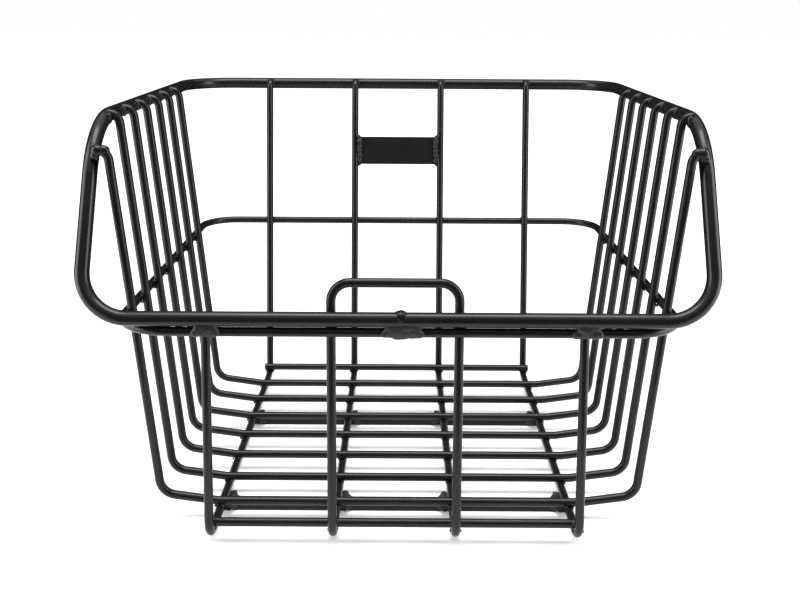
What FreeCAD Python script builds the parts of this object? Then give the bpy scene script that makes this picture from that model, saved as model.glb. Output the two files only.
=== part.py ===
import FreeCAD, Part
import math
import os

# Welded wire handlebar basket, in millimetres, +Z up. One STEP file per piece in parts/.
# +Y points to the tall wall, which faces the handlebar, and X runs across the basket.
# The origin is the middle of the underside: half way across the rim, half way along the overall
# length, on the plane that the floor strips rest on. The pieces are drawn with the middle cross
# wire at Y = 0 and the middle of the floor lines at X = 0, and moved there at the end.

V = FreeCAD.Vector

# Stock
WIRE_D = 5.0                # round wire of the cage
RIM_D = 8.0                 # round wire of the rim
STRIP_WIDTH = 12.0          # flat bar under the floor
STRIP_THICK = 3.0
PLATE_HEIGHT = 21.0         # flat plate in the tall wall
PLATE_THICK = 2.5

# How deep two welded pieces are pressed into each other
SET_DOWN = 0.4
STRIP_SET_DOWN = 0.3
PLATE_SET_DOWN = 0.2

# Floor
CROSS_COUNT = 7
CROSS_PITCH = 30.8          # spacing of the cross wires along Y
LONG_PITCH = 66.0           # spacing of the four floor lines along X
LONG_SPLAY = 1.2            # each outer line stands this much further out at the low wall
HOOP_SPLAY = 0.5            # the same for the two inner lines
FLOOR_BACK_Y = 127.0        # corner of floor and tall wall, on the wires' centre lines
FLOOR_FRONT_Y = -126.0      # corner of floor and low wall
LONG_BEND_R = 9.0           # bend of the long wires, on the centre line
CROSS_FLAT_HALF = 103.0     # flat part of a cross wire, to each side
CROSS_FOOT_HALF = 135.5     # where the floor part of a cross wire turns up into the side
CROSS_FOOT_RISE = 4.6       # how much it has risen there
CROSS_BEND_R = 10.0
CROSS_SHIFT = 2.2           # the cross wires and the ring sit this far to the right of the floor lines

# Walls
BACK_LEAN = 11.5            # degrees away from the basket
FRONT_LEAN = 4.0            # degrees towards the basket

# Rim
RIM_HALF_WIDTH = 162.6
RIM_LOW_HALF_WIDTH = 164.6   # along the low wall
RIM_SHIFT = 1.4             # the rim sits this far to the right of the floor lines
RIM_HEIGHT = 225.5          # centre line of the level part
RIM_LOW_HEIGHT = 128.7      # centre line along the low wall
RIM_FOLD_Y = -79.0          # where the level sides turn down towards the low wall
RIM_CORNER_R = 34.0         # back corners
RIM_FOLD_R = 46.0
RIM_LOW_CORNER_R = 25.0     # corners of the sloping front part
SIDE_INSET = 7.5            # from the rim's centre line in to the top of the side wires
BACK_INSET = 7.0            # the same along the tall wall
ELBOW_RISE = 1.4            # height of a wire's bent-over end above the rim's centre line
ELBOW_R = 5.5
ELBOW_END_INSET = 1.6       # from the rim's centre line in to the end of the wire

# Level ring half way up
RING_HEIGHT = 121.5
RING_BACK_CORNER_R = 24.0
RING_FRONT_CORNER_R = 30.0

# Hoop above the low wall, and the tops of the two outer long wires there
HOOP_TOP = 146.4
HOOP_BEND_R = 10.0
FRONT_END_HEIGHT = 130.0

# Bars across the ends of the floor, tucked into the bends of the long wires
BAR_ANGLE = 40.0            # degrees below the middle of the bend
REAR_BAR_OVERHANG = 0.8     # past the outer faces of the outer wires
FRONT_BAR_OVERHANG = -1.0

# Strips under the floor, each just behind a cross wire
STRIP_BEHIND = 13.0         # from that cross wire back to the middle of the strip
REAR_STRIP_CROSS = 3
FRONT_STRIP_CROSS = 7
STRIP_OVERHANG = 1.0

# Plate
PLATE_MIDDLE_UP = 173.8     # along the tall wall from the floor corner to the middle of the plate

# Weld beads
BUTT_WELD_WIDTH = 4.6
BUTT_WELD_HEIGHT = 0.9
BUTT_WELD_EDGE_R = 0.7
BRIDGE_R = 3.4              # beads that bridge the rim and the ring
BRIDGE_OUT = 0.5            # how far outside the middle of the two they lie
BRIDGE_HALF = 4.2
CENTRE_BRIDGE_HALF = 7.5
CENTRE_LOBE_R = 3.2         # the two drops under the centre one
CENTRE_LOBE_OUT = 4.6
CENTRE_LOBE_UP = 0.5        # middle of a drop's round end above the ring's centre line
PLATE_BEAD_R = 2.1
PLATE_DROP_R = 2.8          # lumps along the bead
PLATE_DROP_COUNT = 5
PLATE_BEAD_OUT = 0.8        # from the wire's face in to the middle of the bead
FILLET_LENGTH = 8.0         # strip welds, along the wire
FILLET_WIDTH = 3.4
FILLET_HEIGHT = 2.6

# Worked out from the above
WIRE_R = WIRE_D / 2
RIM_R = RIM_D / 2
CROSSING = WIRE_D - SET_DOWN                    # centre to centre of two crossing wires
RIM_CONTACT = WIRE_R + RIM_R - SET_DOWN         # the same for a wire and the rim
LONG_Z = STRIP_THICK + WIRE_R - STRIP_SET_DOWN
CROSS_Z = LONG_Z + CROSSING
BACK_SLOPE = math.tan(math.radians(BACK_LEAN))
FRONT_SLOPE = math.tan(math.radians(FRONT_LEAN))
OUTER_X = 1.5 * LONG_PITCH
INNER_X = 0.5 * LONG_PITCH
OUTER_FRONT_X = OUTER_X + LONG_SPLAY
INNER_FRONT_X = INNER_X + HOOP_SPLAY


def back_wall_y(z):
    """Centre line of the tall wall's wires at a height."""
    return FLOOR_BACK_Y + BACK_SLOPE * (z - LONG_Z)


def front_wall_y(z):
    """Centre line of the low wall's wires at a height."""
    return FLOOR_FRONT_Y + FRONT_SLOPE * (z - LONG_Z)


def cross_y(number):
    """Place of a cross wire along Y; number 1 is nearest the tall wall."""
    return ((CROSS_COUNT + 1) / 2 - number) * CROSS_PITCH


def side_wire_x(z):
    """Centre line of a side wire at a height."""
    foot_z = CROSS_Z + CROSS_FOOT_RISE
    share = (z - foot_z) / (RIM_HEIGHT + ELBOW_RISE - foot_z)
    return CROSS_FOOT_HALF + share * (RIM_HALF_WIDTH - SIDE_INSET - CROSS_FOOT_HALF)


RIM_BACK_Y = back_wall_y(RIM_HEIGHT) + BACK_INSET
RIM_FRONT_Y = front_wall_y(RIM_LOW_HEIGHT) - RIM_CONTACT
RING_HALF_WIDTH = side_wire_x(RING_HEIGHT) + CROSSING
RING_BACK_Y = back_wall_y(RING_HEIGHT) + CROSSING / math.cos(math.radians(BACK_LEAN))
RING_FRONT_Y = front_wall_y(RING_HEIGHT) - CROSSING
RIM_SLOPE = (RIM_HEIGHT - RIM_LOW_HEIGHT) / (RIM_FOLD_Y - RIM_FRONT_Y)
OVERALL_BACK_Y = RIM_BACK_Y + RIM_R
OVERALL_FRONT_Y = RIM_FRONT_Y - RIM_R - BUTT_WELD_HEIGHT
ORIGIN_X = RIM_SHIFT
ORIGIN_Y = (OVERALL_BACK_Y + OVERALL_FRONT_Y) / 2


def round_corner(before, corner, after, radius):
    """Start, middle and end of the arc that rounds one corner of a path."""
    back = (before - corner).normalize()
    ahead = (after - corner).normalize()
    half = back.getAngle(ahead) / 2
    tangent = radius / math.tan(half)
    middle_way = (back + ahead).normalize()
    centre_gap = radius / math.sin(half)
    start = corner + back * tangent
    middle = corner + middle_way * (centre_gap - radius)
    end = corner + ahead * tangent
    return start, middle, end


def bent_path(corners, radii):
    """A path of straight runs through the corners, each inner corner rounded by its radius."""
    edges = []
    here = corners[0]
    for index, radius in enumerate(radii):
        start, middle, end = round_corner(corners[index], corners[index + 1], corners[index + 2], radius)
        edges.append(Part.makeLine(here, start))
        edges.append(Part.Arc(start, middle, end).toShape())
        here = end
    edges.append(Part.makeLine(here, corners[-1]))
    return Part.Wire(edges)


def bent_wire(corners, radii, diameter):
    """Round wire bent along a path."""
    path = bent_path(corners, radii)
    along = corners[1] - corners[0]
    circle = Part.Wire([Part.makeCircle(diameter / 2, corners[0], along)])
    return path.makePipeShell([circle], True, False)


def rod(start, end, diameter):
    """Straight round wire."""
    along = end - start
    return Part.makeCylinder(diameter / 2, along.Length, start, along)


def capsule(start, end, radius):
    """Rounded bead of weld between two points."""
    body = rod(start, end, 2 * radius)
    return body.fuse([Part.makeSphere(radius, start), Part.makeSphere(radius, end)]).removeSplitter()


def rim_wire():
    """Closed rim: level round the back and sides, folded down to the low wall in front."""
    w = RIM_HALF_WIDTH
    low_w = RIM_LOW_HALF_WIDTH
    joint = V(0, RIM_FRONT_Y, RIM_LOW_HEIGHT)
    corners = [
        joint,
        V(low_w, RIM_FRONT_Y, RIM_LOW_HEIGHT),
        V(w, RIM_FOLD_Y, RIM_HEIGHT),
        V(w, RIM_BACK_Y, RIM_HEIGHT),
        V(-w, RIM_BACK_Y, RIM_HEIGHT),
        V(-w, RIM_FOLD_Y, RIM_HEIGHT),
        V(-low_w, RIM_FRONT_Y, RIM_LOW_HEIGHT),
        joint,
    ]
    radii = [RIM_LOW_CORNER_R, RIM_FOLD_R, RIM_CORNER_R, RIM_CORNER_R, RIM_FOLD_R, RIM_LOW_CORNER_R]
    rim = bent_wire(corners, radii, RIM_D)
    rim.translate(V(RIM_SHIFT, 0, 0))
    return rim


def mid_ring_wire():
    """Closed level ring that wraps the outside of all the wall wires."""
    w = RING_HALF_WIDTH
    corners = [
        V(0, RING_FRONT_Y, RING_HEIGHT),
        V(w, RING_FRONT_Y, RING_HEIGHT),
        V(w, RING_BACK_Y, RING_HEIGHT),
        V(-w, RING_BACK_Y, RING_HEIGHT),
        V(-w, RING_FRONT_Y, RING_HEIGHT),
        V(0, RING_FRONT_Y, RING_HEIGHT),
    ]
    radii = [RING_FRONT_CORNER_R, RING_BACK_CORNER_R, RING_BACK_CORNER_R, RING_FRONT_CORNER_R]
    ring = bent_wire(corners, radii, WIRE_D)
    ring.translate(V(CROSS_SHIFT, 0, 0))
    return ring


def back_leg_corners(x):
    """From a wire's end over the back rim down to the back corner of the floor."""
    elbow_z = RIM_HEIGHT + ELBOW_RISE
    return [
        V(x, RIM_BACK_Y - ELBOW_END_INSET, elbow_z),
        V(x, back_wall_y(elbow_z), elbow_z),
        V(x, FLOOR_BACK_Y, LONG_Z),
    ]


def outer_long_wire(side):
    """Outer long wire: tall wall, floor, low wall. side is -1 for left, 1 for right."""
    corners = back_leg_corners(side * OUTER_X)
    corners.append(V(side * OUTER_FRONT_X, FLOOR_FRONT_Y, LONG_Z))
    corners.append(V(side * OUTER_X, front_wall_y(FRONT_END_HEIGHT), FRONT_END_HEIGHT))
    return bent_wire(corners, [ELBOW_R, LONG_BEND_R, LONG_BEND_R], WIRE_D)


def hoop_wire():
    """The two inner long wires are one wire, joined by the hoop above the low wall."""
    left = back_leg_corners(-INNER_X)
    left.append(V(-INNER_FRONT_X, FLOOR_FRONT_Y, LONG_Z))
    left.append(V(-INNER_FRONT_X, front_wall_y(HOOP_TOP), HOOP_TOP))
    right = [V(-p.x, p.y, p.z) for p in reversed(left)]
    radii = [ELBOW_R, LONG_BEND_R, LONG_BEND_R, HOOP_BEND_R]
    return bent_wire(left + right, radii + radii[::-1], WIRE_D)


def rim_z(y):
    """Height of the rim's centre line beside a cross wire, its fold taken as a sharp one."""
    return min(RIM_HEIGHT, RIM_HEIGHT - RIM_SLOPE * (RIM_FOLD_Y - y))


def elbow_height(y):
    """Height of a side wire's bent-over end: in the rim's side, or over its sloping part."""
    if y > RIM_FOLD_Y:
        return RIM_HEIGHT + ELBOW_RISE
    across = math.sqrt(1 + RIM_SLOPE ** 2)
    return rim_z(y) + RIM_CONTACT * across


def cross_wire(number):
    """U-shaped wire across the floor and up both sides."""
    y = cross_y(number)
    top_z = elbow_height(y)
    right = [
        V(CROSS_FLAT_HALF, y, CROSS_Z),
        V(CROSS_FOOT_HALF, y, CROSS_Z + CROSS_FOOT_RISE),
        V(side_wire_x(top_z), y, top_z),
        V(RIM_HALF_WIDTH - ELBOW_END_INSET, y, top_z),
    ]
    left = [V(-p.x, p.y, p.z) for p in reversed(right)]
    radii = [ELBOW_R, CROSS_BEND_R, CROSS_BEND_R, CROSS_BEND_R, CROSS_BEND_R, ELBOW_R]
    wire = bent_wire(left + right, radii, WIRE_D)
    wire.translate(V(CROSS_SHIFT, 0, 0))
    return wire


def floor_bar(corner_y, inward, lean, outer_x, overhang):
    """Straight wire tucked into the bends of the long wires.

    inward is the floor's side of the corner, 1 or -1. lean is the wall's, away from the basket.
    """
    drop = LONG_BEND_R - CROSSING
    angle = math.radians(BAR_ANGLE)
    bend_start = LONG_BEND_R * math.tan(math.radians(90 - lean) / 2)
    y = corner_y + inward * (bend_start - drop * math.cos(angle))
    z = LONG_Z + LONG_BEND_R - drop * math.sin(angle)
    half = outer_x + WIRE_R + overhang
    return rod(V(-half, y, z), V(half, y, z), WIRE_D)


def floor_strip(number):
    """Flat bar under the long wires, just behind a cross wire."""
    half = OUTER_FRONT_X + WIRE_R + STRIP_OVERHANG
    y = cross_y(number) + STRIP_BEHIND - STRIP_WIDTH / 2
    return Part.makeBox(2 * half, STRIP_WIDTH, STRIP_THICK, V(-half, y, 0))


def on_back_wall(shape):
    """Leans a shape drawn on an upright wall at the origin to the tall wall's place."""
    shape.rotate(V(0, 0, 0), V(1, 0, 0), -BACK_LEAN)
    shape.translate(V(0, FLOOR_BACK_Y, LONG_Z))
    return shape


def bracket_plate():
    """Flat plate between the two inner wires of the tall wall."""
    half = INNER_X - WIRE_R + PLATE_SET_DOWN
    corner = V(-half, -PLATE_THICK / 2, PLATE_MIDDLE_UP - PLATE_HEIGHT / 2)
    return on_back_wall(Part.makeBox(2 * half, PLATE_THICK, PLATE_HEIGHT, corner))


def plate_weld(side):
    """Lumpy bead down the inner face of one end of the plate."""
    x = side * (INNER_X - WIRE_R - PLATE_BEAD_OUT)
    half = PLATE_HEIGHT / 2 - PLATE_BEAD_R
    bottom = PLATE_MIDDLE_UP - half
    step = 2 * half / (PLATE_DROP_COUNT - 1)
    drops = []
    for index in range(PLATE_DROP_COUNT):
        drops.append(Part.makeSphere(PLATE_DROP_R, V(x, 0, bottom + index * step)))
    spine = rod(V(x, 0, bottom), V(x, 0, bottom + 2 * half), 2 * PLATE_BEAD_R)
    return on_back_wall(spine.fuse(drops))


def rim_butt_weld():
    """Upset collar where the two ends of the rim meet."""
    start = V(RIM_SHIFT - BUTT_WELD_WIDTH / 2, RIM_FRONT_Y, RIM_LOW_HEIGHT)
    collar = Part.makeCylinder(RIM_R + BUTT_WELD_HEIGHT, BUTT_WELD_WIDTH, start, V(1, 0, 0))
    return collar.makeFillet(BUTT_WELD_EDGE_R, collar.Edges)


def bridge_place():
    """Middle of the beads between the rim and the ring, a little outside both."""
    y = (RIM_FRONT_Y + RING_FRONT_Y) / 2 - BRIDGE_OUT
    z = (RIM_LOW_HEIGHT - RIM_R + RING_HEIGHT + WIRE_R) / 2
    return y, z


def end_bridge_weld(side):
    """Bead that joins the rim and the ring at an outer long wire."""
    y, z = bridge_place()
    x = side * OUTER_X
    return capsule(V(x - BRIDGE_HALF, y, z), V(x + BRIDGE_HALF, y, z), BRIDGE_R)


def centre_bridge_weld():
    """Wide bead under the rim's joint, with two drops that hang below the ring."""
    y, z = bridge_place()
    start = V(RIM_SHIFT - CENTRE_BRIDGE_HALF, y, z)
    bead = capsule(start, start + V(2 * CENTRE_BRIDGE_HALF, 0, 0), BRIDGE_R)
    drops = []
    for side in (-1, 1):
        x = RIM_SHIFT + side * CENTRE_LOBE_OUT
        drops.append(capsule(V(x, y, z), V(x, y, RING_HEIGHT + CENTRE_LOBE_UP), CENTRE_LOBE_R))
    return bead.fuse(drops)


def strip_fillet(x, towards_x, edge_y, towards_y):
    """Wedge of weld in the corner between a long wire and one edge of a strip."""
    reach = WIRE_R + FILLET_WIDTH
    bottom = STRIP_THICK - FILLET_HEIGHT / 2
    points = [
        V(x, edge_y, bottom),
        V(x + towards_x * reach, edge_y, bottom),
        V(x, edge_y + towards_y * FILLET_LENGTH, bottom),
    ]
    outline = Part.makePolygon(points + points[:1])
    return Part.Face(outline).extrude(V(0, 0, FILLET_HEIGHT))


def strip_welds(number):
    """The eight wedges that hold one strip, on the inner side of each long wire."""
    middle = cross_y(number) + STRIP_BEHIND
    wedges = []
    for towards_y in (-1, 1):
        edge_y = middle + towards_y * STRIP_WIDTH / 2
        for side in (-1, 1):
            share = (FLOOR_BACK_Y - edge_y) / (FLOOR_BACK_Y - FLOOR_FRONT_Y)
            for x, splay in ((OUTER_X, LONG_SPLAY), (INNER_X, HOOP_SPLAY)):
                wedges.append(strip_fillet(side * (x + share * splay), -side, edge_y, towards_y))
    return wedges


def build():
    """All pieces by name, each cut where it is welded to a piece made before it."""
    pieces = {}
    pieces["rim_wire"] = rim_wire()
    longs = {
        "left_long_wire": outer_long_wire(-1),
        "right_long_wire": outer_long_wire(1),
        "hoop_wire": hoop_wire(),
    }
    for name, shape in longs.items():
        pieces[name] = shape.cut(pieces["rim_wire"])
    frame = list(pieces.values())
    crosses = {}
    for number in range(1, CROSS_COUNT + 1):
        crosses["cross_wire_%d" % number] = cross_wire(number).cut(frame)
    pieces.update(crosses)
    pieces["mid_ring_wire"] = mid_ring_wire().cut(list(pieces.values()))
    rear_bar = floor_bar(FLOOR_BACK_Y, -1, BACK_LEAN, OUTER_X, REAR_BAR_OVERHANG)
    front_bar = floor_bar(FLOOR_FRONT_Y, 1, -FRONT_LEAN, OUTER_FRONT_X, FRONT_BAR_OVERHANG)
    pieces["rear_floor_bar"] = rear_bar.cut(frame)
    pieces["front_floor_bar"] = front_bar.cut(frame)
    pieces["rear_floor_strip"] = floor_strip(REAR_STRIP_CROSS).cut(frame)
    pieces["front_floor_strip"] = floor_strip(FRONT_STRIP_CROSS).cut(frame)
    pieces["bracket_plate"] = bracket_plate().cut(frame)
    add_welds(pieces, frame)
    return pieces


def add_welds(pieces, frame):
    """Weld beads, each cut by the pieces it joins."""
    ring = pieces["mid_ring_wire"]
    plate = pieces["bracket_plate"]
    pieces["rim_butt_weld"] = rim_butt_weld().cut(frame)
    low_wall = frame + [ring, pieces["rim_butt_weld"]]
    pieces["left_bridge_weld"] = end_bridge_weld(-1).cut(low_wall)
    pieces["centre_bridge_weld"] = centre_bridge_weld().cut(low_wall)
    pieces["right_bridge_weld"] = end_bridge_weld(1).cut(low_wall)
    pieces["left_plate_weld"] = plate_weld(-1).cut(frame + [plate])
    pieces["right_plate_weld"] = plate_weld(1).cut(frame + [plate])
    for place, number in (("rear", REAR_STRIP_CROSS), ("front", FRONT_STRIP_CROSS)):
        strip = pieces[place + "_floor_strip"]
        cutters = frame + [strip] + [pieces["cross_wire_%d" % number]]
        wedges = [wedge.cut(cutters) for wedge in strip_welds(number)]
        pieces[place + "_strip_welds"] = Part.makeCompound([s for w in wedges for s in w.Solids])


def main():
    os.makedirs("parts", exist_ok=True)
    for name, shape in build().items():
        shape.translate(V(-ORIGIN_X, -ORIGIN_Y, 0))
        shape.exportStep("parts/%s.step" % name)


if __name__ == "__main__":
    main()
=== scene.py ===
"""A handlebar basket of coated steel wire.

The coat, the weld metal and a plain studio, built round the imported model.
"""

import math
import random

import bpy
from bpy.props import FloatProperty, FloatVectorProperty, IntProperty, PointerProperty
from mathutils import Matrix, Vector
from mathutils.bvhtree import BVHTree


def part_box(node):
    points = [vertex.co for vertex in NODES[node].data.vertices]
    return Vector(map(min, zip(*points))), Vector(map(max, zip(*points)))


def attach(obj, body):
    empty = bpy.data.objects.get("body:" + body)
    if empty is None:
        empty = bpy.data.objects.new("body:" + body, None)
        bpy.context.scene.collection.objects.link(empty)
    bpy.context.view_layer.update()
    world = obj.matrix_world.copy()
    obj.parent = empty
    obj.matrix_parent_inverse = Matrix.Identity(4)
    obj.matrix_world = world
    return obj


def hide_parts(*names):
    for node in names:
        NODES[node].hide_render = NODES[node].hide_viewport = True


bl_info = {
    "name": "Wire Handlebar Basket",
    "version": (1, 0, 0),
    "blender": (4, 5, 0),
    "location": "3D View > Sidebar > Basket",
    "description": "Coats, weld metal and a studio for a wire handlebar basket",
    "category": "Object",
}

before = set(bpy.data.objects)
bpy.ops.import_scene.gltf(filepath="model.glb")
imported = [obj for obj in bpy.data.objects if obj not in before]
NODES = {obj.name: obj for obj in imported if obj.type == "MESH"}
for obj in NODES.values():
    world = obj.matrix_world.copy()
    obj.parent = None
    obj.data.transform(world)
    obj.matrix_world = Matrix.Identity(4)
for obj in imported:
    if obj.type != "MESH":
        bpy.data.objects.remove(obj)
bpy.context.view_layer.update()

MM = 0.001
CROSS_WIRES = ["cross_wire_%d" % number for number in range(1, 8)]
LONG_WIRES = ["left_long_wire", "hoop_wire", "right_long_wire"]
FLOOR_BARS = ["rear_floor_bar", "front_floor_bar"]
FLAT_PARTS = ["rear_floor_strip", "front_floor_strip", "bracket_plate"]
WIRE_PARTS = ["rim_wire", "mid_ring_wire", *CROSS_WIRES, *LONG_WIRES, *FLOOR_BARS]
X, Y, Z = Vector((1, 0, 0)), Vector((0, 1, 0)), Vector((0, 0, 1))

WIRE_R = 2.5  # all lengths of the weld drops are in millimetres
RIM_R = 4.0
TOUCHING = 0.5  # how near the skin of the next wire a cut end's corner lies
ONE_WELD = 9.0  # corners nearer than this belong to one weld

COAT_IOR = 1.34  # under the usual 1.5, which keeps the edges of the round wires dark
DRIFT_WIDTH = 18  # how far apart the coat's thick and thin places lie
GRAIN_WIDTH = 0.9
DUST_SPACING = 7.0

# how far to the right of the CAD weld node each of these welds is laid
COLLAR_ASIDE = 1.5
LEFT_BRIDGE_ASIDE, CENTRE_BRIDGE_ASIDE, RIGHT_BRIDGE_ASIDE = 1.6, 2.6, 0.8

COLLAR_TURNS = 26
COLLAR_DROP_SPACING = 1.6
PLATE_BEAD_R = 1.55
FILLET_LENGTH = 5.4
ELBOW_STEPS = 6
KNOB_R, KNOB_INSET = 3.2, 1.8
KNOB_FOOT_R, KNOB_FOOT_INSET, KNOB_FOOT_DROP = 2.6, 0.6, 2.4
KNOB_NECK_R, KNOB_NECK_END = 2.7, 6.0

# the studio, in metres and degrees
FLOOR_HALF = 9.0
FLOOR_GLOW_FROM, FLOOR_GLOW_TO, FLOOR_GLOW_LOW = 0.3, 1.2, 0.25
CLOTH_SIDES = 48
CLOTH_LIFT, CLOTH_RADIUS, CLOTH_HEIGHT = 0.001, 2.6, 2.4
CLOTH_FRONT_START, CLOTH_FRONT_HALF_ANGLE = 0.36, 40
CLOTH_BACK_START, CLOTH_BACK_HALF_ANGLE = 0.2, 65
LAMP_TARGET = (0, 0, 0.12)
TOP_LAMP_PLACE, TOP_LAMP_SIZE = (0.0, -0.1, 1.5), (0.95, 0.65)
SIDE_LAMP_PLACE, SIDE_LAMP_SIZE = (0.75, -0.25, 0.42), (0.42, 0.78)
CAMERA_PLACE = (0.000914, -0.64649, 0.28695)
CAMERA_PITCH, CAMERA_ROLL, CAMERA_SHIFT = 14.306, 0.3271, -0.05


def linear(hexcode):
    """An sRGB hex colour as the linear red, green and blue that Blender works in."""
    parts = [int(hexcode[i : i + 2], 16) / 255 for i in (0, 2, 4)]
    return [c / 12.92 if c <= 0.04045 else ((c + 0.055) / 1.055) ** 2.4 for c in parts]


def per_mm(size):
    """The scale of a pattern on Object coordinates whose features are size millimetres wide."""
    return 1 / (size * MM)


class BasketCoatSettings(bpy.types.PropertyGroup):
    """The colours of the powder coat and the grain of its skin."""

    wire_dark: FloatVectorProperty(
        name="Wire, dark", description="The coat on the wires where it is thin",
        subtype="COLOR", default=linear("141415"), min=0, max=1,
    )
    wire_light: FloatVectorProperty(
        name="Wire, light", description="The coat on the wires where it is thick",
        subtype="COLOR", default=linear("1a1a1c"), min=0, max=1,
    )
    bar_dark: FloatVectorProperty(
        name="Bar, dark", description="The coat on the strips and the plate",
        subtype="COLOR", default=linear("0e1012"), min=0, max=1,
    )
    bar_light: FloatVectorProperty(
        name="Bar, light", description="The palest drift of the coat on strips and plate",
        subtype="COLOR", default=linear("141618"), min=0, max=1,
    )
    # weld_dark and weld_light are mixed by random noise, like the other coats; the code lays neither by the
    # hollows or crests of the metal
    weld_dark: FloatVectorProperty(
        name="Weld, dark", description="The coat in the hollows of the weld metal",
        subtype="COLOR", default=linear("1d1e20"), min=0, max=1,
    )
    weld_light: FloatVectorProperty(
        name="Weld, light", description="The coat on the crests of the weld metal",
        subtype="COLOR", default=linear("2b2c2e"), min=0, max=1,
    )
    peel_width: FloatProperty(
        name="Orange peel", description="Width of one dimple of the coat's orange peel, in mm",
        default=1.3, min=0.3, max=5,
    )


class BasketWeldSettings(bpy.types.PropertyGroup):
    """How the weld metal is grown and how rough its skin is."""

    voxel: FloatProperty(
        name="Fineness", description="Edge of one cell that the weld metal is grown in",
        subtype="DISTANCE", unit="LENGTH", default=0.32 * MM, min=0.1 * MM, max=2 * MM, precision=5,
    )
    flow: IntProperty(
        name="Flow", description="How far neighbouring drops run into each other",
        default=5, min=0, max=40,
    )
    ripple_height: FloatProperty(
        name="Ripple height", description="Height of the ripples on the weld metal",
        subtype="DISTANCE", unit="LENGTH", default=0.45 * MM, min=0, max=2 * MM, precision=5,
    )
    ripple_width: FloatProperty(
        name="Ripple width", description="Width of one ripple, in mm",
        default=2.2, min=0.5, max=8,
    )
    spatter: IntProperty(
        name="Spatter", description="Most dots of spatter round each weld at the rim, floor and ring",
        default=3, min=0, max=12,
    )
    seed: IntProperty(name="Seed", description="Seed of everything random", default=7, min=0)


class BasketStudioSettings(bpy.types.PropertyGroup):
    """The floor, the lamps and the lens."""

    floor_colour: FloatVectorProperty(
        name="Floor", description="Colour of the floor and the background",
        subtype="COLOR", default=linear("f4f4f4"), min=0, max=1,
    )
    room_light: FloatProperty(
        name="Room light", description="Strength of the plain light from all round",
        default=0.3, min=0, max=3,
    )
    top_lamp: FloatProperty(
        name="Top lamp", description="Power of the soft lamp overhead", unit="POWER",
        default=20, min=0, max=200,
    )
    side_lamp: FloatProperty(
        name="Side lamps", description="Power of each of the soft lamps beside the basket",
        unit="POWER", default=6.5, min=0, max=200,
    )
    lens: FloatProperty(
        name="Lens", description="Focal length on a 36 mm sensor, in mm", default=45.45, min=10,
    )


def add(tree, kind, settings=None, links=None):
    """Adds a node of that kind, with its settings and values, and links other sockets to its inputs."""
    node = tree.nodes.new(kind)
    for name, value in (settings or {}).items():
        if isinstance(name, str) and hasattr(node, name):
            setattr(node, name, value)
        else:
            node.inputs[name].default_value = value
    for name, socket in (links or {}).items():
        tree.links.new(socket, node.inputs[name])
    return node


def mix_colours(tree, factor, dark, light):
    """A colour between two colours, by a factor from the tree."""
    mix = add(tree, "ShaderNodeMix", {"data_type": "RGBA"})
    tree.links.new(factor, mix.inputs[0])
    mix.inputs[6].default_value = (*dark, 1)
    mix.inputs[7].default_value = (*light, 1)
    return mix.outputs[2]


def coat_material(name, dark, light, peel, depth, shine, nibs):
    """A powder coat.

    peel and depth are the dimples' width and depth in mm, shine its least and most roughness, and
    nibs the height of its dust against the dimples.
    """
    material = bpy.data.materials.new(name)
    material.use_nodes = True
    tree = material.node_tree
    shader = tree.nodes["Principled BSDF"]
    place = add(tree, "ShaderNodeTexCoord").outputs["Object"]
    drift = add(tree, "ShaderNodeTexNoise", {"Scale": per_mm(DRIFT_WIDTH), "Detail": 3.0}, {"Vector": place})
    grain = add(
        tree, "ShaderNodeTexNoise", {"Scale": per_mm(GRAIN_WIDTH), "Detail": 2.0}, {"Vector": place}
    )
    dimple = add(tree, "ShaderNodeTexNoise", {"Scale": per_mm(peel), "Detail": 1.5}, {"Vector": place})
    dust = add(tree, "ShaderNodeTexVoronoi", {"Scale": per_mm(DUST_SPACING)}, {"Vector": place})
    # the drift of the coat's thickness, with a fine grain over it
    tone = add(tree, "ShaderNodeMath", {"operation": "MULTIPLY_ADD", 1: 0.2}, {0: grain.outputs["Fac"]})
    tree.links.new(drift.outputs["Fac"], tone.inputs[2])
    spread = add(
        tree, "ShaderNodeMapRange",
        {"From Min": 0.35, "From Max": 0.85, "To Min": 0.0, "To Max": 1.0}, {"Value": tone.outputs[0]},
    )
    tree.links.new(mix_colours(tree, spread.outputs[0], dark, light), shader.inputs["Base Color"])
    gloss = add(
        tree, "ShaderNodeMapRange",
        {"From Min": 0.3, "From Max": 0.7, "To Min": shine[0], "To Max": shine[1]},
        {"Value": grain.outputs["Fac"]},
    )
    tree.links.new(gloss.outputs[0], shader.inputs["Roughness"])
    # nibs of dust under the coat: the middles of a few wide cells
    nib = add(
        tree, "ShaderNodeMapRange",
        {"From Min": 0.0, "From Max": 0.09, "To Min": nibs, "To Max": 0.0},
        {"Value": dust.outputs["Distance"]},
    )
    skin = add(tree, "ShaderNodeMath", {"operation": "ADD"}, {0: dimple.outputs["Fac"], 1: nib.outputs[0]})
    bump = add(
        tree, "ShaderNodeBump", {"Strength": 1.0, "Distance": depth * MM}, {"Height": skin.outputs[0]}
    )
    tree.links.new(bump.outputs[0], shader.inputs["Normal"])
    shader.inputs["IOR"].default_value = COAT_IOR
    shader.inputs["Metallic"].default_value = 0.0
    return material


def socket_id(tree, name):
    """The identifier of a node group's input, by its name."""
    return next(
        item.identifier for item in tree.interface.items_tree
        if item.item_type == "SOCKET" and item.in_out == "INPUT" and item.name == name
    )


def new_tree(name, inputs):
    """An empty Geometry Nodes tree with a geometry in and out and the named inputs."""
    tree = bpy.data.node_groups.new(name, "GeometryNodeTree")
    tree.interface.new_socket("Geometry", in_out="INPUT", socket_type="NodeSocketGeometry")
    for label, kind in inputs:
        tree.interface.new_socket(label, in_out="INPUT", socket_type=kind)
    tree.interface.new_socket("Geometry", in_out="OUTPUT", socket_type="NodeSocketGeometry")
    return tree, add(tree, "NodeGroupInput").outputs


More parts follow.
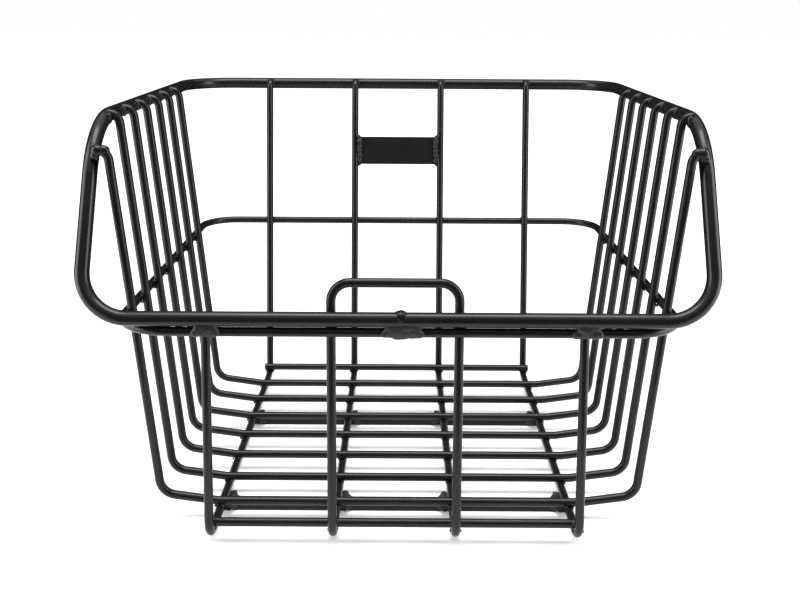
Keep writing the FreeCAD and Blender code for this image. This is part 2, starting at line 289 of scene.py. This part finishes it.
def end_tree(tree, geometry, material):
    """Realizes what a tree made, gives it its material and smooth faces, and sends it out."""
    smooth = add(tree, "GeometryNodeSetShadeSmooth", links={"Geometry": geometry})
    real = add(tree, "GeometryNodeRealizeInstances", links={"Geometry": smooth.outputs[0]})
    coated = add(tree, "GeometryNodeSetMaterial", links={"Geometry": real.outputs[0], "Material": material})
    add(tree, "NodeGroupOutput", links={0: coated.outputs[0]})
    return tree


def weld_metal_tree():
    """Weld metal: drops with a size each, run together into one skin, smoothed and rippled."""
    tree, given = new_tree(
        "weld_metal",
        [("Voxel", "NodeSocketFloat"), ("Flow", "NodeSocketInt"), ("Ripple height", "NodeSocketFloat"),
         ("Ripple scale", "NodeSocketFloat"), ("Seed", "NodeSocketFloat"),
         ("Material", "NodeSocketMaterial")],
    )
    size = add(tree, "GeometryNodeInputNamedAttribute", {"data_type": "FLOAT", "Name": "drop"}).outputs[0]
    drops = add(tree, "GeometryNodeMeshToPoints", links={"Mesh": given["Geometry"], "Radius": size})
    body = add(
        tree, "GeometryNodePointsToVolume", {"resolution_mode": "VOXEL_SIZE"},
        {"Points": drops.outputs[0], "Voxel Size": given["Voxel"], "Radius": size},
    )
    skin = add(tree, "GeometryNodeVolumeToMesh", {"Threshold": 0.1}, {"Volume": body.outputs[0]})
    where = add(tree, "GeometryNodeInputPosition").outputs[0]
    run = add(
        tree, "GeometryNodeBlurAttribute", {"data_type": "FLOAT_VECTOR"},
        {"Value": where, "Iterations": given["Flow"]},
    )
    flowed = add(
        tree, "GeometryNodeSetPosition", links={"Geometry": skin.outputs[0], "Position": run.outputs[0]}
    )
    noise = add(
        tree, "ShaderNodeTexNoise", {"noise_dimensions": "4D", "Detail": 2.0},
        {"Vector": where, "W": given["Seed"], "Scale": given["Ripple scale"]},
    )
    centred = add(tree, "ShaderNodeMath", {"operation": "SUBTRACT", 1: 0.5}, {0: noise.outputs[0]})
    height = add(
        tree, "ShaderNodeMath", {"operation": "MULTIPLY"},
        {0: centred.outputs[0], 1: given["Ripple height"]},
    )
    outwards = add(
        tree, "ShaderNodeVectorMath", {"operation": "SCALE"},
        {0: add(tree, "GeometryNodeInputNormal").outputs[0], "Scale": height.outputs[0]},
    )
    rippled = add(
        tree, "GeometryNodeSetPosition", links={"Geometry": flowed.outputs[0], "Offset": outwards.outputs[0]}
    )
    return end_tree(tree, rippled.outputs[0], given["Material"])


def spatter_tree():
    """Spatter: a small faceted bead on every point, of that point's size, turned at random."""
    tree, given = new_tree("spatter_beads", [("Seed", "NodeSocketInt"), ("Material", "NodeSocketMaterial")])
    size = add(tree, "GeometryNodeInputNamedAttribute", {"data_type": "FLOAT", "Name": "drop"}).outputs[0]
    dots = add(tree, "GeometryNodeMeshToPoints", links={"Mesh": given["Geometry"]})
    bead = add(tree, "GeometryNodeMeshIcoSphere", {"Radius": 1.0, "Subdivisions": 2})
    turn = add(
        tree, "FunctionNodeRandomValue", {"data_type": "FLOAT_VECTOR", 1: (math.tau,) * 3},
        {"Seed": given["Seed"]},
    )
    placed = add(
        tree, "GeometryNodeInstanceOnPoints",
        links={
            "Points": dots.outputs[0], "Instance": bead.outputs[0],
            "Rotation": turn.outputs[0], "Scale": size,
        },
    )
    return end_tree(tree, placed.outputs[0], given["Material"])


def grow(name, drops, tree, values, material, replaced=()):
    """Makes a finished piece of weld metal from drops, each a place and a radius in mm."""
    start = bpy.data.meshes.new(name + "_drops")
    start.from_pydata([place * MM for place, _ in drops], [], [])
    sizes = start.attributes.new("drop", "FLOAT", "POINT")
    sizes.data.foreach_set("value", [radius * MM for _, radius in drops])
    holder = bpy.data.objects.new(name + "_drops", start)
    bpy.context.scene.collection.objects.link(holder)
    modifier = holder.modifiers.new("grow", "NODES")
    modifier.node_group = tree
    for label, value in {**values, "Material": material}.items():
        modifier[socket_id(tree, label)] = value
    grown = bpy.data.meshes.new_from_object(holder.evaluated_get(bpy.context.evaluated_depsgraph_get()))
    bpy.data.objects.remove(holder)
    bpy.data.meshes.remove(start)
    if not grown.polygons:
        raise RuntimeError(name + " came out empty")
    grown.name = name
    piece = bpy.data.objects.new(name, grown)
    bpy.context.scene.collection.objects.link(piece)
    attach(piece, "root")
    if replaced:
        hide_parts(*replaced)
    return piece


def weld(name, drops, replaced=(), ripple=1.0, seed=0, flow=1, coat="powder_coat_over_weld"):
    """A piece of weld metal with the panel's settings; ripple and flow scale two of them."""
    made = bpy.context.scene.basket_welds
    tree = bpy.data.node_groups.get("weld_metal") or weld_metal_tree()
    values = {
        "Voxel": made.voxel, "Flow": made.flow * flow, "Ripple height": made.ripple_height * ripple,
        "Ripple scale": per_mm(made.ripple_width), "Seed": float(made.seed + seed),
    }
    return grow(name, drops, tree, values, bpy.data.materials[coat], replaced)


SKINS = {}


def skin_of(node):
    """A search tree of a CAD node's faces."""
    if node not in SKINS:
        mesh = NODES[node].data
        SKINS[node] = BVHTree.FromPolygons([v.co for v in mesh.vertices], [p.vertices for p in mesh.polygons])
    return SKINS[node]


def touching_corners(first, second):
    """The corners of the first node's mesh that lie on the second node's skin, in mm."""
    low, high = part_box(second)
    edge = Vector((TOUCHING * MM,) * 3)
    low, high = low - edge, high + edge
    near = [
        v.co for v in NODES[first].data.vertices
        if all(low[i] <= v.co[i] <= high[i] for i in range(3))
        and skin_of(second).find_nearest(v.co, TOUCHING * MM)[0] is not None
    ]
    return [corner / MM for corner in near]


def contacts(first, second):
    """The middle of every place where two nodes touch, in mm."""
    groups = []
    for corner in touching_corners(first, second) + touching_corners(second, first):
        for group in groups:
            if (corner - group[0]).length < ONE_WELD:
                group.append(corner)
                break
        else:
            groups.append([corner])
    return [sum(group, Vector()) / len(group) for group in groups]


def box_mm(node):
    """The lowest and highest corner of a node, in mm."""
    return [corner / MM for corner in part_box(node)]


def islands(node):
    """The lowest and highest corner, in mm, of each loose part of a node's mesh, by nearness."""
    groups = []
    for vertex in NODES[node].data.vertices:
        place = vertex.co / MM
        near = [g for g in groups if (place - g[0]).length < ONE_WELD]
        if near:
            near[0].append(place)
        else:
            groups.append([place])
    return [
        (
            Vector([min(p[i] for p in g) for i in range(3)]),
            Vector([max(p[i] for p in g) for i in range(3)]),
        )
        for g in groups
    ]


def shaken(rng, place, amount):
    """A place moved at random by up to amount each way."""
    return place + Vector([rng.uniform(-amount, amount) for _ in range(3)])


def corner_drops(rng, middle, along, across, out, radius):
    """Metal squeezed out of a crossing: a drop in the contact and one in each of its four corners."""
    drops = [(middle, radius * 1.5)]
    for one in (-1, 1):
        for other in (-1, 1):
            reach = out * rng.uniform(0.85, 1.15)
            place = middle + along * one * reach + across * other * reach
            drops.append((place, radius * rng.uniform(0.8, 1.15)))
    return drops


def seam_drops(rng, start, end, radius, step, shake):
    """A run of drops from start to end, a step apart, each a little off the line and off its size."""
    count = max(2, round((end - start).length / step))
    return [
        (shaken(rng, start.lerp(end, i / count), shake), radius * rng.uniform(0.88, 1.12))
        for i in range(count + 1)
    ]


def fresh_random(offset):
    """A random source of its own for one piece, from the panel's seed."""
    return random.Random(bpy.context.scene.basket_welds.seed * 100 + offset)


class BASKET_OT_coat_wires(bpy.types.Operator):
    """Coats the rim, the ring, the wires and the floor bars"""

    bl_idname = "basket.coat_wires"
    bl_label = "Coat the wires"

    def execute(self, context):
        given = context.scene.basket_coat
        # Black semi-gloss powder coat on drawn steel wire: a smooth skin of shallow dimples that
        # spreads each lamp into a soft line along the wire.
        coat = coat_material(
            "powder_coat_on_drawn_wire", given.wire_dark, given.wire_light,
            given.peel_width, 0.010, (0.22, 0.28), 0.5,
        )
        for node in WIRE_PARTS:
            NODES[node].data.materials.clear()
            NODES[node].data.materials.append(coat)
        return {"FINISHED"}


class BASKET_OT_coat_flat_parts(bpy.types.Operator):
    """Coats the two floor strips and the bracket plate"""

    bl_idname = "basket.coat_flat_parts"
    bl_label = "Coat the strips and the plate"

    def execute(self, context):
        given = context.scene.basket_coat
        # The same coat on sheared flat bar: a flat face holds more of it, so it is smoother, bluer
        # black and more even than on the wires.
        coat = coat_material(
            "powder_coat_on_flat_bar", given.bar_dark, given.bar_light,
            given.peel_width * 1.5, 0.014, (0.38, 0.44), 0.3,
        )
        for node in FLAT_PARTS:
            NODES[node].data.materials.clear()
            NODES[node].data.materials.append(coat)
        return {"FINISHED"}


class BASKET_OT_coat_welds(bpy.types.Operator):
    """Makes the coat that lies over the weld metal"""

    bl_idname = "basket.coat_welds"
    bl_label = "Make the coat for the welds"

    def execute(self, context):
        given = context.scene.basket_coat
        # The same coat over weld metal as it was laid: pits and scale under it break the gloss up,
        # so it looks duller and greyer, with glints on its crests.
        coat_material(
            "powder_coat_over_weld", given.weld_dark, given.weld_light,
            given.peel_width * 0.8, 0.06, (0.3, 0.44), 0.8,
        )
        return {"FINISHED"}


class BASKET_OT_rim_butt(bpy.types.Operator):
    """Builds the collar over the rim's butt weld"""

    bl_idname = "basket.rim_butt"
    bl_label = "Rim butt weld"

    def execute(self, context):
        rng = fresh_random(1)
        low, high = box_mm("rim_butt_weld")
        middle = (low + high) / 2 + X * COLLAR_ASIDE
        drops = []
        for i in range(COLLAR_TURNS):
            angle = math.tau * i / COLLAR_TURNS
            spoke = Y * math.cos(angle) + Z * math.sin(angle)
            # the bead stands proud on top and runs out flush over the front
            proud = 0.05 + 1.25 * max(0.0, math.sin(angle))
            for side in (-1, 0, 1):
                along = X * (side * COLLAR_DROP_SPACING + rng.uniform(-0.25, 0.25))
                place = middle + spoke * (RIM_R - 1.9 + proud) + along
                drops.append((place, rng.uniform(1.75, 2.0) - abs(side) * 0.45))
        weld("rim_butt_collar", drops, ["rim_butt_weld"], 0.4, 1, 2, "powder_coat_on_drawn_wire")
        return {"FINISHED"}


def bridge_drops(rng, node, offset, lobes):
    """Metal that fills the gap between the rim and the ring, with lobes that hang below the ring."""
    low, high = box_mm(node)
    ring_low, ring_high = box_mm("mid_ring_wire")
    gap = (ring_high.z + box_mm("rim_wire")[0].z) / 2
    front = low.y
    half = (high.x - low.x) / 2 - 1.6
    middle = (low.x + high.x) / 2 + offset
    drops = []
    # up, depth behind the front, radius and how far each row's end is pulled back
    for up, depth, radius, back in (
        (2.6, 2.0, 1.8, 0.8), (1.6, 2.2, 2.1, 1.6), (0.5, 2.3, 2.2, 2.2), (-0.7, 2.4, 2.2, 2.0),
        (-1.9, 2.6, 2.2, 1.2), (-2.9, 2.9, 2.3, 0.0),
    ):
        start = Vector((middle - half + back + rng.uniform(-0.5, 0.5), front + depth, gap + up))
        end = Vector((middle + half - back + rng.uniform(-0.5, 0.5), front + depth, gap + up))
        drops += seam_drops(rng, start, end, radius, 0.9, 0.18)
    for place, wide, deep in lobes:
        start = Vector((middle + place - wide / 2, front + 3.6, ring_low.z + 1.7))
        end = start + X * wide
        drops += seam_drops(rng, start, end, 2.0 + deep, 0.9, 0.15)
    return drops


class BASKET_OT_bridges(bpy.types.Operator):
    """Builds the three welds that join the rim's front to the ring"""

    bl_idname = "basket.bridges"
    bl_label = "Front bridge welds"

    def execute(self, context):
        rng = fresh_random(2)
        lobes = ((-1.3, 4.6, 0.6), (5.0, 1.4, 0.2))
        drops = bridge_drops(rng, "centre_bridge_weld", CENTRE_BRIDGE_ASIDE, lobes)
        weld("centre_bridge", drops, ["centre_bridge_weld"], 0.7, 2, 3)
        drops = bridge_drops(rng, "left_bridge_weld", LEFT_BRIDGE_ASIDE, ())
        weld("left_bridge", drops, ["left_bridge_weld"], 0.8, 3, 2)
        drops = bridge_drops(rng, "right_bridge_weld", RIGHT_BRIDGE_ASIDE, ())
        weld("right_bridge", drops, ["right_bridge_weld"], 0.8, 4, 2)
        return {"FINISHED"}


class BASKET_OT_plate_beads(bpy.types.Operator):
    """Builds the rough beads that join the bracket plate's ends to the wires"""

    bl_idname = "basket.plate_beads"
    bl_label = "Plate beads"

    def execute(self, context):
        rng = fresh_random(3)
        for name, node, seed in (
            ("left_plate_bead", "left_plate_weld", 5), ("right_plate_bead", "right_plate_weld", 6),
        ):
            low, high = box_mm(node)
            middle = (low + high) / 2
            drops = []
            for face in (low.y + 2.6, high.y - 2.6):
                start = Vector((middle.x, face, low.z + 2.0))
                end = Vector((middle.x, face, high.z - 2.0))
                drops += seam_drops(rng, start, end, PLATE_BEAD_R, 0.9, 0.35)
                # the arc was held still at each of these, and a bigger drop set there
                for i in range(5):
                    drops.append((shaken(rng, start.lerp(end, (i + 0.5) / 5), 0.45), 2.2))
                # and it ran on to the wire past both corners of the plate
                outer = X * math.copysign(1.6, middle.x)
                for corner, past in ((start, -Z), (end, Z)):
                    drops += seam_drops(rng, corner + past * 1.2, corner + past * 2.4 + outer, 1.1, 0.8, 0.1)
            weld(name, drops, [node], 1.6, seed)
        return {"FINISHED"}


class BASKET_OT_strip_fillets(bpy.types.Operator):
    """Builds the short fillets along the floor strips' edges"""

    bl_idname = "basket.strip_fillets"
    bl_label = "Strip fillets"

    def execute(self, context):
        rng = fresh_random(4)
        for name, node, strip, seed in (
            ("rear_strip_fillets", "rear_strip_welds", "rear_floor_strip", 8),
            ("front_strip_fillets", "front_strip_welds", "front_floor_strip", 9),
        ):
            strip_low, strip_high = box_mm(strip)
            drops = []
            for low, high in islands(node):
                middle = (low + high) / 2
                away = 1 if middle.y > (strip_low.y + strip_high.y) / 2 else -1
                edge = strip_high.y if away == 1 else strip_low.y
                # a web that is widest on the strip's edge and runs out along the wire
                for i in range(7):
                    along = i / 6
                    wide = 1.9 + 3.4 * (1 - along) ** 2.2
                    reach = edge + away * (FILLET_LENGTH * along - 0.5)
                    place = Vector((middle.x, reach, strip_high.z - 0.9 + 1.1 * along))
                    for side in (-1, 1):
                        start, end = place + X * side * 0.9, place + X * side * wide
                        drops += seam_drops(rng, start, end, 1.0, 0.8, 0.1)
            weld(name, drops, [node], 0.8, seed)
        return {"FINISHED"}


class BASKET_OT_floor_crossings(bpy.types.Operator):
    """Builds the squeezed metal at the crossings of the floor and at the floor bars"""

    bl_idname = "basket.floor_crossings"
    bl_label = "Floor crossings"

    def execute(self, context):
        rng = fresh_random(5)
        drops = []
        for cross in CROSS_WIRES:
            for long_wire in LONG_WIRES:
                for middle in contacts(cross, long_wire):
                    drops += corner_drops(rng, middle, X, Y, 1.95, 1.0)
        weld("floor_crossing_welds", drops, (), 0.6, 10)
        drops = []
        for bar in FLOOR_BARS:
            for long_wire in LONG_WIRES:
                for middle in contacts(bar, long_wire):
                    drops += corner_drops(rng, middle, X, Z, 2.1, 1.25)
        weld("floor_bar_welds", drops, (), 0.8, 11)
        return {"FINISHED"}


class BASKET_OT_ring_crossings(bpy.types.Operator):
    """Builds the welds where the ring crosses the side, back and front wires"""

    bl_idname = "basket.ring_crossings"
    bl_label = "Ring crossings"

    def execute(self, context):
        rng = fresh_random(6)
        drops = []
        for cross in CROSS_WIRES:
            for middle in contacts("mid_ring_wire", cross):
                drops += corner_drops(rng, middle, Y, Z, 1.95, 1.05)
        for long_wire in LONG_WIRES:
            for middle in contacts("mid_ring_wire", long_wire):
                if middle.y > 0:
                    drops += corner_drops(rng, middle, X, Z, 1.95, 1.05)
                elif long_wire == "hoop_wire":
                    run = seam_drops(rng, middle - X * 4.2, middle + X * 4.2, 1.55, 1.0, 0.2)
                    drops += run + corner_drops(rng, middle, X, Z, 2.0, 1.2)
        weld("ring_crossing_welds", drops, (), 0.7, 12)
        return {"FINISHED"}


def elbow_drops(rng, middle, beside, front, back, length):
    """A web of metal beside an elbow, from the contact down to the rim's lower inner edge."""
    drops = []
    for side, radius in ((front, 1.55), (-back, 1.05)):
        for i in range(ELBOW_STEPS):
            down = i / (ELBOW_STEPS - 1)
            out = abs(side) * (1 - 0.25 * down)
            place = middle + beside * math.copysign(out, side) - Z * (length * down - 0.6)
            drops.append((shaken(rng, place, 0.15), radius * (1 - 0.45 * down)))
    return drops


class BASKET_OT_rim_elbows(bpy.types.Operator):
    """Builds the webs of metal that join the wires' bent tops to the rim"""

    bl_idname = "basket.rim_elbows"
    bl_label = "Rim elbows"

    def execute(self, context):
        rng = fresh_random(7)
        drops, knobs = [], []
        for cross in CROSS_WIRES[:-1]:
            for middle in contacts(cross, "rim_wire"):
                drops += elbow_drops(rng, middle, -Y, 2.4, 2.2, 4.4)
        # the foremost wire's ends stop short of the sloping rim, and knobs of metal reach out to it
        low, high = box_mm(CROSS_WIRES[-1])
        for end_x in (low.x, high.x):
            end = Vector((end_x, (low.y + high.y) / 2, high.z - WIRE_R))
            inwards = X * -math.copysign(1, end_x)
            knob = end + inwards * KNOB_INSET
            knobs.append((knob, KNOB_R))
            knobs.append((end + inwards * KNOB_FOOT_INSET - Z * KNOB_FOOT_DROP, KNOB_FOOT_R))
            knobs += seam_drops(rng, knob, end + inwards * KNOB_NECK_END, KNOB_NECK_R, 0.8, 0.1)
        for long_wire in LONG_WIRES:
            for middle in contacts(long_wire, "rim_wire"):
                if middle.y > 0:
                    drops += elbow_drops(rng, middle, X, 2.3, 2.3, 3.6)
        weld("rim_elbow_welds", drops, (), 0.6, 13)
        weld("front_elbow_knobs", knobs, (), 0.4, 14, 2, "powder_coat_on_drawn_wire")
        return {"FINISHED"}


class BASKET_OT_spatter(bpy.types.Operator):
    """Scatters beads of spatter on the wires round the welds at the rim, the floor and the ring"""

    bl_idname = "basket.spatter"
    bl_label = "Spatter"

    def execute(self, context):
        made = context.scene.basket_welds
        rng = fresh_random(8)
        dots = []
        for first, second, reach in (
            [(cross, "rim_wire", 9.0) for cross in CROSS_WIRES]
            + [(cross, long_wire, 8.0) for cross in CROSS_WIRES for long_wire in LONG_WIRES]
            + [(long_wire, "mid_ring_wire", 8.0) for long_wire in LONG_WIRES]
        ):
            for middle in contacts(first, second):
                for _ in range(made.spatter):
                    node = rng.choice((first, second))
                    near = skin_of(node).find_nearest(shaken(rng, middle, reach) * MM)
                    if near[0] is not None and rng.random() < 0.6:
                        dots.append((near[0] / MM, rng.uniform(0.22, 0.42)))
        tree = spatter_tree()
        coat = bpy.data.materials["powder_coat_over_weld"]
        grow("weld_spatter", dots, tree, {"Seed": made.seed}, coat)
        return {"FINISHED"}


def seen_background(tree):
    """1 where the camera, a reflection or a clear body looks at the background, and 0 elsewhere."""
    path = add(tree, "ShaderNodeLightPath").outputs
    mirrored = add(
        tree, "ShaderNodeMath", {"operation": "MAXIMUM"},
        {0: path["Is Camera Ray"], 1: path["Is Glossy Ray"]},
    )
    both = add(
        tree, "ShaderNodeMath", {"operation": "MAXIMUM"},
        {0: mirrored.outputs[0], 1: path["Is Transmission Ray"]},
    )
    return both.outputs[0]


def soft_lamp(name, place, target, size, power):
    """A square soft lamp at a place, turned to a target."""
    data = bpy.data.lights.new(name, "AREA")
    data.shape, data.size, data.size_y, data.energy = "RECTANGLE", size[0], size[1], power
    lamp = bpy.data.objects.new(name, data)
    lamp.location = place
    lamp.rotation_euler = (Vector(target) - Vector(place)).to_track_quat("-Z", "Y").to_euler()
    lamp.visible_camera = False
    bpy.context.scene.collection.objects.link(lamp)


class BASKET_OT_studio(bpy.types.Operator):
    """Builds the floor, the dark surround, the lamps, the world and the camera"""

    bl_idname = "basket.studio"
    bl_label = "Studio"

    def execute(self, context):
        given = context.scene.basket_studio
        self.floor(given)
        self.surround()
        soft_lamp("top_lamp", TOP_LAMP_PLACE, LAMP_TARGET, TOP_LAMP_SIZE, given.top_lamp)
        out, along, up = SIDE_LAMP_PLACE
        for side in (-1, 1):
            soft_lamp("side_lamp", (out * side, along, up), LAMP_TARGET, SIDE_LAMP_SIZE, given.side_lamp)
        self.world(given)
        self.camera(given)
        context.scene.view_settings.view_transform = "Standard"
        return {"FINISHED"}

    def floor(self, given):
        """A wide pale floor that reads as the background and keeps the basket's shadow."""
        half = FLOOR_HALF
        corners = [(-half, -half, 0), (half, -half, 0), (half, half, 0), (-half, half, 0)]
        mesh = bpy.data.meshes.new("floor")
        mesh.from_pydata(corners, [], [(0, 1, 2, 3)])
        material = bpy.data.materials.new("matt_studio_floor")
        material.use_nodes = True
        tree = material.node_tree
        shader = tree.nodes["Principled BSDF"]
        shader.inputs["Base Color"].default_value = (*given.floor_colour, 1)
        shader.inputs["Roughness"].default_value = 0.9
        shader.inputs["Specular IOR Level"].default_value = 0.0
        shader.inputs["Emission Color"].default_value = (1, 1, 1, 1)
        # the lamps only reach the middle, so the floor's own light takes over towards its edge
        place = add(tree, "ShaderNodeTexCoord").outputs["Object"]
        away = add(tree, "ShaderNodeVectorMath", {"operation": "LENGTH"}, {0: place})
        fade = add(
            tree, "ShaderNodeMapRange",
            {"From Min": FLOOR_GLOW_FROM, "From Max": FLOOR_GLOW_TO,
             "To Min": FLOOR_GLOW_LOW, "To Max": 1.0},
            {"Value": away.outputs["Value"]},
        )
        lift = add(
            tree, "ShaderNodeMath", {"operation": "MULTIPLY"}, {0: seen_background(tree), 1: fade.outputs[0]}
        )
        tree.links.new(lift.outputs[0], shader.inputs["Emission Strength"])
        mesh.materials.append(material)
        floor = bpy.data.objects.new("floor", mesh)
        bpy.context.scene.collection.objects.link(floor)

    def surround(self):
        """A dish of black cloth round the set, which only the gloss of the coat picks up."""
        front = math.cos(math.radians(CLOTH_FRONT_HALF_ANGLE))
        back = math.cos(math.radians(CLOTH_BACK_HALF_ANGLE))
        corners, faces = [], []
        for i in range(CLOTH_SIDES):
            turns = [math.tau * (i + end) / CLOTH_SIDES for end in (0, 1)]
            # 1 at the front, on the camera's side, and -1 behind the basket
            ahead = -math.sin(math.tau * (i + 0.5) / CLOTH_SIDES)
            rings = [(CLOTH_RADIUS, CLOTH_LIFT), (CLOTH_RADIUS, CLOTH_HEIGHT)]
            # the cloth lies on the floor before and behind the basket, and leaves it bare beside
            if ahead > front:
                rings.insert(0, (CLOTH_FRONT_START, CLOTH_LIFT))
            elif ahead < -back:
                rings.insert(0, (CLOTH_BACK_START, CLOTH_LIFT))
            for inner, outer in zip(rings, rings[1:]):
                start = len(corners)
                for radius, height in (inner, outer):
                    corners += [(radius * math.cos(t), radius * math.sin(t), height) for t in turns]
                faces.append((start, start + 1, start + 3, start + 2))
        mesh = bpy.data.meshes.new("black_surround")
        mesh.from_pydata(corners, [], faces)
        material = bpy.data.materials.new("black_cloth")
        material.use_nodes = True
        shader = material.node_tree.nodes["Principled BSDF"]
        shader.inputs["Base Color"].default_value = (*linear("101010"), 1)
        shader.inputs["Roughness"].default_value = 1.0
        mesh.materials.append(material)
        cloth = bpy.data.objects.new("black_surround", mesh)
        cloth.visible_camera = cloth.visible_diffuse = cloth.visible_shadow = False
        cloth.visible_transmission = cloth.visible_volume_scatter = False
        bpy.context.scene.collection.objects.link(cloth)

    def world(self, given):
        """White where the background is seen, and a plain level of light everywhere else."""
        world = bpy.data.worlds.new("studio")
        world.use_nodes = True
        bpy.context.scene.world = world
        tree = world.node_tree
        strength = add(
            tree, "ShaderNodeMapRange", {"To Min": given.room_light, "To Max": 1.0},
            {"Value": seen_background(tree)},
        )
        background = tree.nodes["Background"]
        background.inputs["Color"].default_value = (1, 1, 1, 1)
        tree.links.new(strength.outputs[0], background.inputs["Strength"])

    def camera(self, given):
        """A camera in front of the basket, a little above its rim and looking down into it."""
        data = bpy.data.cameras.new("camera")
        data.sensor_width, data.lens, data.shift_y = 36, given.lens, CAMERA_SHIFT
        data.clip_start, data.clip_end = 0.01, 100
        pitch, roll = math.radians(CAMERA_PITCH), math.radians(CAMERA_ROLL)
        ahead = Y * math.cos(pitch) - Z * math.sin(pitch)
        up = X.cross(ahead)
        side = X * math.cos(roll) + up * math.sin(roll)
        over = up * math.cos(roll) - X * math.sin(roll)
        turned = Matrix((side, over, -ahead)).transposed().to_4x4()
        camera = bpy.data.objects.new("camera", data)
        camera.matrix_world = Matrix.Translation(CAMERA_PLACE) @ turned
        bpy.context.scene.collection.objects.link(camera)
        bpy.context.scene.camera = camera


OPERATORS = [
    BASKET_OT_coat_wires, BASKET_OT_coat_flat_parts, BASKET_OT_coat_welds, BASKET_OT_rim_butt,
    BASKET_OT_bridges, BASKET_OT_plate_beads, BASKET_OT_strip_fillets, BASKET_OT_floor_crossings,
    BASKET_OT_ring_crossings, BASKET_OT_rim_elbows, BASKET_OT_spatter, BASKET_OT_studio,
]
SETTINGS = {
    "basket_coat": BasketCoatSettings,
    "basket_welds": BasketWeldSettings,
    "basket_studio": BasketStudioSettings,
}


class BASKET_PT_panel(bpy.types.Panel):
    """The basket's settings and the steps that build it"""

    bl_idname = "BASKET_PT_panel"
    bl_label = "Wire Basket"
    bl_space_type = "VIEW_3D"
    bl_region_type = "UI"
    bl_category = "Basket"

    def draw(self, context):
        for name in SETTINGS:
            group = getattr(context.scene, name)
            box = self.layout.box()
            for setting in group.bl_rna.properties:
                if setting.identifier not in ("rna_type", "name"):
                    box.prop(group, setting.identifier)
        for operator in OPERATORS:
            self.layout.operator(operator.bl_idname)


def register():
    """Registers the settings, the operators and the panel."""
    for settings in SETTINGS.values():
        bpy.utils.register_class(settings)
    for operator in OPERATORS:
        bpy.utils.register_class(operator)
    bpy.utils.register_class(BASKET_PT_panel)
    for name, settings in SETTINGS.items():
        setattr(bpy.types.Scene, name, PointerProperty(type=settings))


def unregister():
    """Takes back what register did."""
    for name in SETTINGS:
        delattr(bpy.types.Scene, name)
    bpy.utils.unregister_class(BASKET_PT_panel)
    for operator in reversed(OPERATORS):
        bpy.utils.unregister_class(operator)
    for settings in SETTINGS.values():
        bpy.utils.unregister_class(settings)


def main():
    """Builds everything in order."""
    register()
    for operator in OPERATORS:
        group, name = operator.bl_idname.split(".")
        getattr(getattr(bpy.ops, group), name)()


if __name__ == "__main__":
    main()
